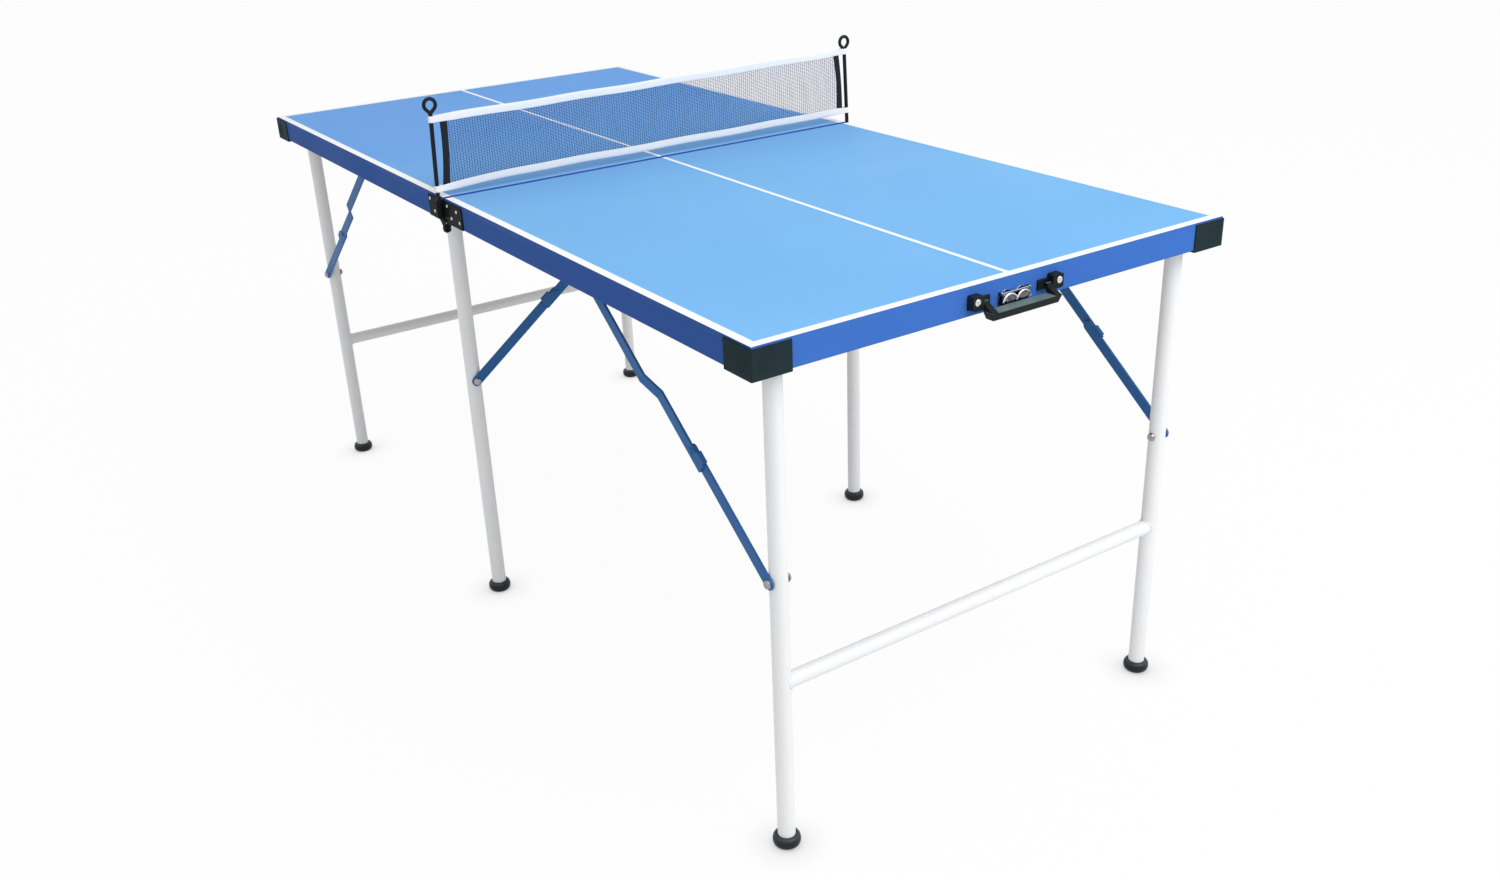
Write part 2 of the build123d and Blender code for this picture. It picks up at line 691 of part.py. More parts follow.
# The lever shows two domed half discs, with a cheek behind each for the loop
with BuildPart() as lever:
    lobe_middle = lobe_rise - lobe_radius
    dome_foot = lobe_radius - lobe_rim
    dome_base = lobe_out + lobe_plate
    for side in (-1, 1):
        centre = (lever_x, side * lobe_radius, lever_z + lobe_middle)
        with BuildSketch(Plane(centre, x_dir=(1, 0, 0), z_dir=(0, -1, 0))):
            with BuildLine():
                ThreePointArc(
                    (dome_base, dome_foot),
                    (dome_base + lobe_dome * 3 / 4, dome_foot / 2),
                    (dome_base + lobe_dome, 0),
                )
                Polyline(
                    (dome_base + lobe_dome, 0),
                    (lobe_out, 0),
                    (lobe_out, lobe_radius),
                    (dome_base, lobe_radius),
                    (dome_base, dome_foot),
                )
            make_face()
        revolve(axis=Axis(centre, (1, 0, 0)))
    split(bisect_by=Plane((0, 0, lever_z - lobe_cut)), keep=Keep.TOP)
    cheek_width = (lever_width - lever_slot) / 2
    cheek_y = (lever_slot + cheek_width) / 2
    with BuildSketch(lever_plane) as cheeks:
        with Locations((-cheek_y, -lever_length / 2), (cheek_y, -lever_length / 2)):
            Rectangle(cheek_width, lever_length)
        fillet(cheeks.vertices().group_by(Axis.Y)[0], cheek_width / 3)
    extrude(amount=-lever_thickness / 2)
    with BuildSketch(lever_plane):
        with Locations((-cheek_y, -lobe_cut / 2), (cheek_y, -lobe_cut / 2)):
            Rectangle(cheek_width, lobe_cut)
    extrude(amount=lobe_out)
    with BuildSketch(Plane((lever_x, -lever_width / 2, lever_z), z_dir=(0, 1, 0))):
        Circle(lever_thickness / 2)
    extrude(amount=lever_width)
    pin_end = lever_width / 2 + layer_gap + lever_ear
    with BuildSketch(Plane((lever_x, -pin_end, lever_z), z_dir=(0, 1, 0))):
        Circle(lever_pin_radius)
    extrude(amount=2 * pin_end)
    for side in (-1, 1):
        eye = Plane((lever_x, side * lever_slot / 2, lever_z - loop_drop), z_dir=(0, side, 0))
        with BuildSketch(eye):
            Circle(loop_stub_radius + running_fit)
        extrude(amount=loop_stub_length + layer_gap, mode=Mode.SUBTRACT)
lever.part.label = "latch_lever"
export_step(lever.part, "parts/latch_lever.step")

with BuildPart() as loop:
    wire_y = lever_slot / 2 - layer_gap - wire_radius
    loop_bottom = -loop_drop - loop_length
    with BuildLine(lever_plane) as bend:
        FilletPolyline(
            (-wire_y, loop_top - loop_drop),
            (-wire_y, loop_bottom),
            (wire_y, loop_bottom),
            (wire_y, loop_top - loop_drop),
            radius=loop_bend,
        )
    with BuildSketch(Plane(bend.line @ 0, z_dir=bend.line % 0)):
        Circle(wire_radius)
    sweep()
    for side in (-1, 1):
        with BuildSketch(Plane((lever_x, side * wire_y, lever_z - loop_drop), z_dir=(0, side, 0))):
            Circle(loop_stub_radius)
        extrude(amount=wire_radius + layer_gap + loop_stub_length)
loop.part.label = "latch_loop"
export_step(loop.part, "parts/latch_loop.step")

# Catch on the far end that the loop hooks over when the halves are closed
catch_plane = Plane((-end_x, 0, rail_middle), x_dir=(0, -1, 0), z_dir=(-1, 0, 0))
with BuildPart() as catch:
    with BuildSketch(catch_plane):
        RectangleRounded(catch_width, catch_height, latch_plate)
    extrude(amount=latch_plate)
    with BuildSketch(Plane((-end_x, -wire_y, rail_middle), x_dir=(-1, 0, 0), z_dir=(0, 1, 0))):
        with BuildLine():
            Polyline(
                (0, 0),
                (catch_hook, 0),
                (catch_hook, catch_lip),
                (catch_hook - latch_plate, catch_lip),
                (catch_hook - latch_plate, latch_plate),
                (0, latch_plate),
                close=True,
            )
        make_face()
    extrude(amount=2 * wire_y)
catch.part.label = "latch_catch"
export_step(catch.part, "parts/latch_catch.step")
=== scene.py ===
import bmesh
import bpy
import json
import math
from mathutils import Matrix, Vector, noise


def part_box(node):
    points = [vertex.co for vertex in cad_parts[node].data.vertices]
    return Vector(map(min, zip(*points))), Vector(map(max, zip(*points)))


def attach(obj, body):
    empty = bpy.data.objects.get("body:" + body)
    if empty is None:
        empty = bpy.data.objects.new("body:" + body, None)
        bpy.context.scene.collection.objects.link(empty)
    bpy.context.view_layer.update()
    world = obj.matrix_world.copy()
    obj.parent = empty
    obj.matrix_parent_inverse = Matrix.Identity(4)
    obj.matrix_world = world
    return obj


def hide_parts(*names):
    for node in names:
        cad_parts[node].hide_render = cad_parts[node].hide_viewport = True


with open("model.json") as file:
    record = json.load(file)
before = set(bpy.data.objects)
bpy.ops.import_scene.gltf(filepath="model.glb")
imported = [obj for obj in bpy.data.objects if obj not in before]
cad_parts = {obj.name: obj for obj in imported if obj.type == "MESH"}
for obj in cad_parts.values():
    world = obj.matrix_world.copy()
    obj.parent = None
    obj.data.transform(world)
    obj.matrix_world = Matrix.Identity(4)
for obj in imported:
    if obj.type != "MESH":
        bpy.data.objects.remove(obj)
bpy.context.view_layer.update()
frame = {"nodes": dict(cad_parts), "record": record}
nodes = frame["nodes"]
scene = bpy.context.scene
scene.view_settings.view_transform = "Standard"
print("frame loaded:", len(nodes), "nodes")

# Camera at the photograph's view
photoView = {
    "place": (1.846, -1.0784, 1.1655),
    "yaw": 146.56,  # degrees round Z, from +X
    "pitch": 24.64,  # degrees below level
    "roll": -2.29,
    "lens": 33.58,
}


def makeCamera():
    data = bpy.data.cameras.new("photoCamera")
    data.lens = photoView["lens"]
    camera = bpy.data.objects.new("photoCamera", data)
    turn = Matrix.Rotation(math.radians(photoView["yaw"] - 90), 4, "Z")
    tip = Matrix.Rotation(math.radians(90 - photoView["pitch"]), 4, "X")
    lean = Matrix.Rotation(math.radians(photoView["roll"]), 4, "Z")
    camera.matrix_world = Matrix.Translation(photoView["place"]) @ turn @ tip @ lean
    scene.collection.objects.link(camera)
    scene.camera = camera


makeCamera()
print("camera placed")


# Small helpers for node trees
def addNode(tree, kind, **settings):
    node = tree.nodes.new(kind)
    for key, value in settings.items():
        setattr(node, key, value)
    return node


def addMath(tree, operation, first, second=None, clamp=False):
    node = addNode(tree, "ShaderNodeMath", operation=operation, use_clamp=clamp)
    for socket, value in zip(node.inputs, (first, second)):
        if isinstance(value, (int, float)):
            socket.default_value = value
        elif value is not None:
            tree.links.new(value, socket)
    return node.outputs[0]


def addRange(tree, value, fromLow, fromHigh, toLow=0.0, toHigh=1.0):
    node = addNode(tree, "ShaderNodeMapRange")
    tree.links.new(value, node.inputs["Value"])
    limits = {"From Min": fromLow, "From Max": fromHigh, "To Min": toLow, "To Max": toHigh}
    for name, number in limits.items():
        if isinstance(number, (int, float)):
            node.inputs[name].default_value = number
        else:
            tree.links.new(number, node.inputs[name])
    return node.outputs["Result"]


def addMix(tree, factor, first, second):
    node = addNode(tree, "ShaderNodeMix", data_type="RGBA")
    tree.links.new(factor, node.inputs["Factor"])
    for socket, value in ((node.inputs["A"], first), (node.inputs["B"], second)):
        if isinstance(value, tuple):
            socket.default_value = (*value, 1)
        else:
            tree.links.new(value, socket)
    return node.outputs["Result"]


def addNoise(tree, scale, detail=2.0):
    coords = addNode(tree, "ShaderNodeTexCoord")
    node = addNode(tree, "ShaderNodeTexNoise")
    node.inputs["Detail"].default_value = detail
    tree.links.new(coords.outputs["Object"], node.inputs["Vector"])
    if isinstance(scale, (int, float)):
        node.inputs["Scale"].default_value = scale
    else:
        tree.links.new(scale, node.inputs["Scale"])
    return node.outputs["Fac"]


def addAxes(tree, kind):
    coords = addNode(tree, "ShaderNodeTexCoord")
    axes = addNode(tree, "ShaderNodeSeparateXYZ")
    tree.links.new(coords.outputs[kind], axes.inputs["Vector"])
    return axes.outputs


def newGroup(name, inputs, outputs):
    group = bpy.data.node_groups.new(name, "ShaderNodeTree")
    for label, value in inputs.items():
        socket = group.interface.new_socket(label, in_out="INPUT", socket_type="NodeSocketFloat")
        socket.default_value = value
    for label, kind in outputs.items():
        group.interface.new_socket(label, in_out="OUTPUT", socket_type="NodeSocket" + kind)
    return group, group.nodes.new("NodeGroupInput").outputs, group.nodes.new("NodeGroupOutput").inputs


# Effects that several finishes share
def makeSoftEdge():
    group, given, made = newGroup(
        "softEdge", {"Radius": 0.001, "Wear": 0.5, "Patch": 60.0}, {"Mask": "Float", "Normal": "Vector"}
    )
    rounded = addNode(group, "ShaderNodeBevel", samples=4)
    surface = addNode(group, "ShaderNodeNewGeometry")
    facing = addNode(group, "ShaderNodeVectorMath", operation="DOT_PRODUCT")
    group.links.new(given["Radius"], rounded.inputs["Radius"])
    group.links.new(rounded.outputs["Normal"], facing.inputs[0])
    group.links.new(surface.outputs["Normal"], facing.inputs[1])
    bend = addMath(group, "SUBTRACT", 1.0, facing.outputs["Value"])
    rim = addMath(group, "MULTIPLY", bend, 5.0, clamp=True)
    patch = addRange(group, addNoise(group, given["Patch"], 4.0), 0.48, 0.6)
    # lighter rubbed edges: rubbed paint on most finishes, and a painted highlight on the hinge leaves
    wornAndGlinting = addMath(group, "MULTIPLY", rim, patch)
    group.links.new(addMath(group, "MULTIPLY", wornAndGlinting, given["Wear"]), made["Mask"])
    group.links.new(rounded.outputs["Normal"], made["Normal"])
    return group


def makeFineGrain():
    group, given, made = newGroup(
        "fineGrain", {"Scale": 800.0, "Cloud": 6.0}, {"Height": "Float", "Tone": "Float"}
    )
    group.links.new(addNoise(group, given["Scale"], 3.0), made["Height"])
    group.links.new(addRange(group, addNoise(group, given["Cloud"], 3.0), 0.3, 0.7), made["Tone"])
    return group


def makeSmudge():
    group, given, made = newGroup("smudge", {"Low": 0.3, "High": 0.45, "Scale": 9.0}, {"Roughness": "Float"})
    cloud = addNoise(group, given["Scale"], 5.0)
    group.links.new(addRange(group, cloud, 0.35, 0.65, given["Low"], given["High"]), made["Roughness"])
    return group


def makeWeave():
    group, given, made = newGroup("weave", {"Threads": 330.0}, {"Height": "Float"})
    coords = addNode(group, "ShaderNodeTexCoord")
    waves = []
    for direction in ("Y", "Z"):
        wave = addNode(group, "ShaderNodeTexWave", wave_type="BANDS", bands_direction=direction)
        wave.inputs["Distortion"].default_value = 0.4
        group.links.new(coords.outputs["Object"], wave.inputs["Vector"])
        group.links.new(given["Threads"], wave.inputs["Scale"])
        waves.append(wave.outputs["Fac"])
    group.links.new(addMath(group, "MAXIMUM", *waves), made["Height"])
    return group


# Painted shade: a mask for the faces that look to the side, which some finishes colour darker
def makeSideShade():
    group, _, made = newGroup("sideShade", {}, {"Mask": "Float"})
    facing = addMath(group, "ABSOLUTE", addAxes(group, "Normal")["Y"])
    group.links.new(addRange(group, facing, 0.6, 0.8), made["Mask"])
    return group


# Painted highlight: a patchy mask for the faces that look up, which some finishes colour lighter
def makeTopHighlight():
    group, given, made = newGroup("upward", {"Low": 0.9, "High": 0.98, "Share": 0.5}, {"Mask": "Float"})
    facing = addRange(group, addAxes(group, "Normal")["Z"], given["Low"], given["High"])
    cloud = addRange(group, addNoise(group, 45.0, 4.0), 0.3, 0.7, 0.75, 1.0)
    patchy = addMath(group, "MULTIPLY", facing, cloud)
    group.links.new(addMath(group, "MULTIPLY", patchy, given["Share"]), made["Mask"])
    return group


softEdge, fineGrain, smudge, weave = makeSoftEdge(), makeFineGrain(), makeSmudge(), makeWeave()
upward, sideShade = makeTopHighlight(), makeSideShade()


def addEffect(tree, group, **values):
    node = addNode(tree, "ShaderNodeGroup", node_tree=group)
    for name, value in values.items():
        node.inputs[name].default_value = value
    return node.outputs


def newFinish(name, **sockets):
    material = bpy.data.materials.new(name)
    material.use_nodes = True
    tree = material.node_tree
    shader = tree.nodes["Principled BSDF"]
    for label, value in sockets.items():
        shader.inputs[label.replace("_", " ")].default_value = value
    return material, tree, shader


def addBump(tree, shader, height, strength, depth, normal=None):
    bump = addNode(tree, "ShaderNodeBump")
    bump.inputs["Strength"].default_value = strength
    bump.inputs["Distance"].default_value = depth
    tree.links.new(height, bump.inputs["Height"])
    if normal is not None:
        tree.links.new(normal, bump.inputs["Normal"])
    tree.links.new(bump.outputs["Normal"], shader.inputs["Normal"])


coat = {"patch": 60.0, "smudge": 12.0, "grainDepth": 0.0002}  # the same for every coated finish


# One coated finish for paint, enamel, plastic and plated metal, with its own values for each
def coatedFinish(name, look):
    gloss, metal = look.get("gloss", 0.3), look.get("metal", 0.0)
    material, tree, shader = newFinish(name, Specular_IOR_Level=gloss, Metallic=metal)
    grain = addEffect(tree, fineGrain, Scale=look["grain"], Cloud=look.get("cloud", 7.0))
    edge = addEffect(tree, softEdge, Radius=look["edge"], Wear=look.get("wearAndGlintAmount", 0.0), Patch=coat["patch"])
    rough = addEffect(tree, smudge, Low=look["rough"][0], High=look["rough"][1], Scale=coat["smudge"])
    colour = addMix(tree, grain["Tone"], look["dark"], look["light"])
    # lighter rubbed edges, which on the hinge leaves are a painted highlight as well as rubbing
    colour = addMix(tree, edge["Mask"], colour, look.get("wornAndGlinting", look["light"]))
    # painted shade: faces that look to the side take the darker sides colour
    if "sides" in look:
        colour = addMix(tree, addEffect(tree, sideShade)["Mask"], colour, look["sides"])
    # painted highlight: faces that look up take the lighter top colour
    if "top" in look:
        low, high, share = look["topReach"]
        facing = addEffect(tree, upward, Low=low, High=high, Share=share)
        colour = addMix(tree, facing["Mask"], colour, look["top"])
    tree.links.new(colour, shader.inputs["Base Color"])
    tree.links.new(rough["Roughness"], shader.inputs["Roughness"])
    addBump(tree, shader, grain["Height"], look["bump"], coat["grainDepth"], edge["Normal"])
    return material


boardLook = {
    "dark": (0.170, 0.435, 0.79),
    "light": (0.198, 0.482, 0.84),
    "far": (0.138, 0.365, 0.79),  # painted shade: the top is painted deeper away from the handle end, standing in for less light there
    "shadeFade": (0.15, -0.35),  # from the near colour to the far one, along X
    "edge": (0.050, 0.165, 0.55),
    # the long edges of the board are painted shade, a darker blue than its ends
    "shadedSideEdge": (0.036, 0.104, 0.36),
    "under": (0.30, 0.20, 0.12),
    "underDark": (0.22, 0.14, 0.08),
    "fibre": (160.0, 90.0),  # grain and cloud of the bare underside
    "rough": (0.42, 0.52),
    "smudge": 5.0,
    "gloss": 0.03,
    "peel": 420.0,
    "cloud": 2.2,
    "bump": 0.06,
}


def boardColour(tree):
    grain = addEffect(tree, fineGrain, Scale=boardLook["peel"], Cloud=boardLook["cloud"])
    near = addMix(tree, grain["Tone"], boardLook["dark"], boardLook["light"])
    # Painted shade: the top turns from the near colour to the deeper far one along X
    farShade = addRange(tree, addAxes(tree, "Object")["X"], *boardLook["shadeFade"])
    return grain["Height"], addMix(tree, farShade, near, boardLook["far"])


def boardPaint():
    material, tree, shader = newFinish("boardPaint", Specular_IOR_Level=boardLook["gloss"])
    height, paint = boardColour(tree)
    fibre = addEffect(tree, fineGrain, Scale=boardLook["fibre"][0], Cloud=boardLook["fibre"][1])
    low, high = boardLook["rough"]
    rough = addEffect(tree, smudge, Low=low, High=high, Scale=boardLook["smudge"])
    upright = addAxes(tree, "Normal")["Z"]
    top = addMath(tree, "GREATER_THAN", upright, 0.5)
    under = addMath(tree, "LESS_THAN", upright, -0.5)
    bare = addMix(tree, fibre["Tone"], boardLook["underDark"], boardLook["under"])
    # Painted shade: the board's long edges take a darker blue than its ends
    onSide = addEffect(tree, sideShade)["Mask"]
    edge = addMix(tree, onSide, boardLook["edge"], boardLook["shadedSideEdge"])
    colour = addMix(tree, top, edge, paint)
    tree.links.new(addMix(tree, under, colour, bare), shader.inputs["Base Color"])
    tree.links.new(rough["Roughness"], shader.inputs["Roughness"])
    addBump(tree, shader, height, boardLook["bump"], coat["grainDepth"])
    return material


# White lines, with the groove beside them filled in the colour of the board
lineLook = {
    "white": (0.945, 0.95, 0.955),
    "border": 0.011,
    "centre": 0.006,
    "rough": 0.48,
    "gloss": 0.15,
    "bump": 0.08,
}


def linePaint():
    gloss, rough = lineLook["gloss"], lineLook["rough"]
    material, tree, shader = newFinish("linePaint", Specular_IOR_Level=gloss, Roughness=rough)
    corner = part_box("near_panel")[1]
    height, paint = boardColour(tree)
    place = addAxes(tree, "Object")
    along, across = (addMath(tree, "ABSOLUTE", place[axis]) for axis in ("X", "Y"))
    atEnd = addMath(tree, "GREATER_THAN", along, corner.x - lineLook["border"])
    atSide = addMath(tree, "GREATER_THAN", across, corner.y - lineLook["border"])
    middle = addMath(tree, "LESS_THAN", across, lineLook["centre"] / 2)
    white = addMath(tree, "MAXIMUM", addMath(tree, "MAXIMUM", atEnd, atSide), middle)
    tree.links.new(addMix(tree, white, paint, lineLook["white"]), shader.inputs["Base Color"])
    addBump(tree, shader, height, lineLook["bump"], coat["grainDepth"])
    return material


clothLook = {
    "tape": {"dark": (0.89, 0.885, 0.875), "light": (0.96, 0.955, 0.945), "threads": 330.0,
             "bump": 0.5, "sheen": 0.15},
    "band": {"dark": (0.008, 0.010, 0.013), "light": (0.022, 0.026, 0.032), "threads": 260.0,
             "bump": 0.6, "sheen": 0.02},
}


def wovenCloth(name, look):
    material, tree, shader = newFinish(name, Roughness=0.85, Sheen_Weight=look["sheen"], IOR=1.2)
    cloth = addEffect(tree, weave, Threads=look["threads"])
    tree.links.new(addMix(tree, cloth["Height"], look["dark"], look["light"]), shader.inputs["Base Color"])
    addBump(tree, shader, cloth["Height"], look["bump"], 0.0003)
    return material


threadLook = {
    "dark": (0.010, 0.040, 0.15),
    "light": (0.022, 0.062, 0.23),
    "twist": 900.0,
    "cloud": 14.0,
    "rough": 0.7,
    "bump": 0.4,
}


def netThread():
    material, tree, shader = newFinish("netThread", Roughness=threadLook["rough"], IOR=1.4)
    twist = addEffect(tree, fineGrain, Scale=threadLook["twist"], Cloud=threadLook["cloud"])
    colour = addMix(tree, twist["Tone"], threadLook["dark"], threadLook["light"])
    tree.links.new(colour, shader.inputs["Base Color"])
    addBump(tree, shader, twist["Height"], threadLook["bump"], coat["grainDepth"])
    return material


# sides is painted shade, a darker colour on the faces that look to the side. top is a painted highlight, a
# lighter colour on the faces that look up, and its reach says from where, to where and how much
coatLooks = {
    # apron: the sides colour is painted shade, a deeper blue on the long sides than on the ends
    "apron": {"dark": (0.047, 0.157, 0.53), "light": (0.054, 0.173, 0.57), "grain": 350.0, "edge": 0.0012,
              "rough": (0.40, 0.50), "bump": 0.08, "wearAndGlintAmount": 0.25, "wornAndGlinting": (0.10, 0.22, 0.60), "gloss": 0.015,
              "sides": (0.036, 0.104, 0.36)},
    "edging": {"dark": (0.014, 0.060, 0.34), "light": (0.018, 0.070, 0.38), "grain": 600.0, "edge": 0.0003,
               "rough": (0.40, 0.50), "bump": 0.05, "gloss": 0.03},
    "guard": {"dark": (0.014, 0.028, 0.033), "light": (0.021, 0.037, 0.044), "grain": 1500.0, "edge": 0.0012,
              "rough": (0.42, 0.55), "bump": 0.25, "wearAndGlintAmount": 0.4, "wornAndGlinting": (0.05, 0.06, 0.065), "gloss": 0.03},
    # hinge_black: the lighter rubbed edges are a painted highlight together with real rubbing
    "hinge_black": {"dark": (0.007, 0.010, 0.009), "light": (0.012, 0.015, 0.014), "grain": 700.0,
                    "edge": 0.0008, "rough": (0.26, 0.38), "bump": 0.1, "wearAndGlintAmount": 0.5,
                    "wornAndGlinting": (0.16, 0.16, 0.16), "gloss": 0.015},
    "leg_paint": {"dark": (0.85, 0.865, 0.88), "light": (0.89, 0.905, 0.92), "grain": 650.0, "edge": 0.001,
                  "rough": (0.36, 0.46), "bump": 0.12, "gloss": 0.25},
    "brace_paint": {"dark": (0.034, 0.130, 0.35), "light": (0.047, 0.165, 0.42), "grain": 500.0,
                    "edge": 0.0008, "rough": (0.30, 0.40), "bump": 0.08, "wearAndGlintAmount": 0.35,
                    "wornAndGlinting": (0.10, 0.24, 0.55), "gloss": 0.06},
    # rubber: the top colour is a painted highlight, a lighter ring on the upper faces of the feet
    "rubber": {"dark": (0.010, 0.012, 0.012), "light": (0.016, 0.018, 0.018), "grain": 900.0, "edge": 0.001,
               "rough": (0.30, 0.42), "bump": 0.1, "gloss": 0.2, "top": (0.050, 0.066, 0.078),
               "topReach": (0.25, 0.8, 0.9)},
    "post_black": {"dark": (0.010, 0.012, 0.018), "light": (0.016, 0.018, 0.026), "grain": 600.0,
                   "edge": 0.0006, "rough": (0.24, 0.34), "bump": 0.06, "gloss": 0.12},
    # grip: the top colour is a painted highlight on the grip's upward faces
    "grip": {"dark": (0.008, 0.012, 0.013), "light": (0.013, 0.017, 0.018), "grain": 1300.0, "edge": 0.001,
             "rough": (0.36, 0.46), "bump": 0.2, "gloss": 0.08, "top": (0.16, 0.22, 0.24),
             "topReach": (0.9, 0.98, 0.9)},
    "mount": {"dark": (0.008, 0.012, 0.013), "light": (0.013, 0.018, 0.019), "grain": 1300.0, "edge": 0.001,
              "rough": (0.36, 0.46), "bump": 0.2, "gloss": 0.1, "wearAndGlintAmount": 0.4, "wornAndGlinting": (0.05, 0.06, 0.06)},
    "steel": {"dark": (0.26, 0.26, 0.27), "light": (0.42, 0.42, 0.43), "grain": 900.0, "edge": 0.0005,
              "rough": (0.24, 0.36), "bump": 0.08, "cloud": 60.0, "metal": 1.0, "gloss": 0.5},
    "screw": {"dark": (0.62, 0.62, 0.63), "light": (0.78, 0.78, 0.79), "grain": 900.0, "edge": 0.0003,
              "rough": (0.18, 0.30), "bump": 0.05, "cloud": 90.0, "metal": 1.0, "gloss": 0.5},
    # bright: painted shade and painted reflection, a dark metal base with its upward faces painted near
    # white, so the parts show a bright upper rim over a dark middle
    "bright": {"dark": (0.03, 0.03, 0.034), "light": (0.26, 0.26, 0.28), "grain": 400.0, "edge": 0.0006,
               "rough": (0.10, 0.18), "bump": 0.03, "cloud": 170.0, "metal": 1.0, "gloss": 0.5,
               "top": (0.90, 0.90, 0.92), "topReach": (0.56, 0.8, 1.0)},
    "chrome": {"dark": (0.84, 0.84, 0.86), "light": (0.92, 0.92, 0.93), "grain": 400.0, "edge": 0.0003,
               "rough": (0.08, 0.16), "bump": 0.03, "cloud": 40.0, "metal": 1.0, "gloss": 0.5},
}

finishes = {slot: coatedFinish(slot + "Finish", look) for slot, look in coatLooks.items()}
finishes["board"] = boardPaint()
finishes["line_white"] = linePaint()
finishes["tape"] = wovenCloth("tapeCloth", clothLook["tape"])
finishes["band"] = wovenCloth("bandCloth", clothLook["band"])
finishes["mesh"] = netThread()
print("finishes made:", len(finishes))

ownFinish = {"handle_mounts": "mount"}  # differs from the rest of its slot
for part in frame["record"]["subparts"]:
    for place in nodes[part["node"]].material_slots:
        place.material = finishes[ownFinish.get(part["node"], part["material_slot"])]


def makePiece(name, mesh, slot, body, finish=None):
    data = bpy.data.meshes.new(name)
    bmesh.ops.recalc_face_normals(mesh, faces=mesh.faces)
    mesh.to_mesh(data)
    mesh.free()
    data.materials.append(finishes[finish or slot])
    data.polygons.foreach_set("use_smooth", [True] * len(data.polygons))
    piece = bpy.data.objects.new(name, data)
    scene.collection.objects.link(piece)
    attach(piece, body)
    return piece


def ease(t):
    t = min(max(t, 0.0), 1.0)
    return t * t * (3 - 2 * t)


def joinRings(mesh, rings, closed=True):
    for one, two in zip(rings, rings[1:]):
        count = len(one)
        for i in range(count if closed else count - 1):
            j = (i + 1) % count
            mesh.faces.new((one[i], one[j], two[j], two[i]))


def joinClosed(mesh, rings):
    joinRings(mesh, rings)
    mesh.faces.new(rings[0])
    mesh.faces.new(rings[-1])


# Net: cloth tapes that loop round the posts, woven bands and a fine mesh between them
topLow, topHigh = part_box("net_top_tape")
bottomLow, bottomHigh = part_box("net_bottom_tape")
postLow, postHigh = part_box("net_post_right")
netX = (topLow.x + topHigh.x) / 2
postRadius = (postHigh.x - postLow.x) / 2
postLean = (bottomHigh.y - topHigh.y) / (topLow.z - bottomLow.z)
tape = {
    "gap": 0.0010,  # half the room between the two layers
    "flare": 0.018,  # length over which they open for a post
    "cloth": 0.0006,
    "gather": 0.82,  # width at the posts
    "wave": 0.0005,
    "ripple": 37,  # of the edges, in radians a metre
    "sway": 14,  # how quickly the strip wanders, per metre
    "settle": 0.02,  # length over which that dies out at the posts
    "pinch": 0.75,  # how far the layers close at the folded edge
    "rows": 6,
    "arcSteps": 6,
    "spans": 64,
}
stitch = {
    "pitch": 0.005,
    "length": 0.62,  # share of the pitch
    "radius": 0.0003,
    "fromEdge": 0.16,  # share of the tape's width
    "fromFlare": 0.004,
    "sides": 6,
}
netHang = {
    "rise": 0.0022,  # of the top tape above its seat
    "tilt": 0.0024,  # more of it on the right
    "sag": 0.001,  # of the top tape between the posts
    "lift": 0.003,  # of the bottom tape off its ends
    "leftDip": 0.005,
    "rightDip": -0.001,
    "reach": 0.14,
}


def postAt(z):
    return topHigh.y - (topHigh.x - topLow.x) / 2 - postLean * (z - topLow.z)


def topShift(y):
    along = y / postAt(topLow.z)
    return netHang["rise"] + netHang["tilt"] * along - netHang["sag"] * (1 - along**2)


def bottomShift(y):
    end = postAt(bottomLow.z)
    left = 1 - ease((end + y) / netHang["reach"])
    right = 1 - ease((end - y) / netHang["reach"])
    return netHang["lift"] - netHang["leftDip"] * left - netHang["rightDip"] * right


def tapeHeights(y, low, high, shift):
    middle = (low.z + high.z) / 2 + shift(y)
    ends = 1 - ease((postAt(low.z) - abs(y)) / (2 * tape["flare"]))
    half = (high.z - low.z) / 2 * (1 - (1 - tape["gather"]) * ends)
    ripple = tape["wave"] * math.sin(y * tape["ripple"]) * (1 - ends)
    return middle - half + ripple, middle + half + ripple


def tapeSway(y, low):
    return tape["wave"] * noise.noise(Vector((y * tape["sway"], low.z, 0.3)))


# Points round a whole strip: a post, one layer, the other post and the layer behind
def tapeStations(end):
    radius = postRadius + tape["cloth"]
    steps, spans = tape["arcSteps"], tape["spans"]
    side = []
    for step in range(1, steps + 1):
        angle = math.pi / 2 * step / steps
        side.append((-end - radius * math.cos(angle), radius * math.sin(angle)))
    for step in range(1, steps + 1):
        spread = 1 - ease(step / steps)
        side.append((-end + tape["flare"] * step / steps, tape["gap"] + (radius - tape["gap"]) * spread))
    span = 2 * (end - tape["flare"])
    for step in range(1, spans):
        side.append((-end + tape["flare"] + span * step / spans, tape["gap"]))
    front = [(-end - radius, 0.0)] + side + [(-y, half) for y, half in reversed(side[:2 * steps])]
    return front + [(end + radius, 0.0)] + [(y, -half) for y, half in reversed(front[1:])]


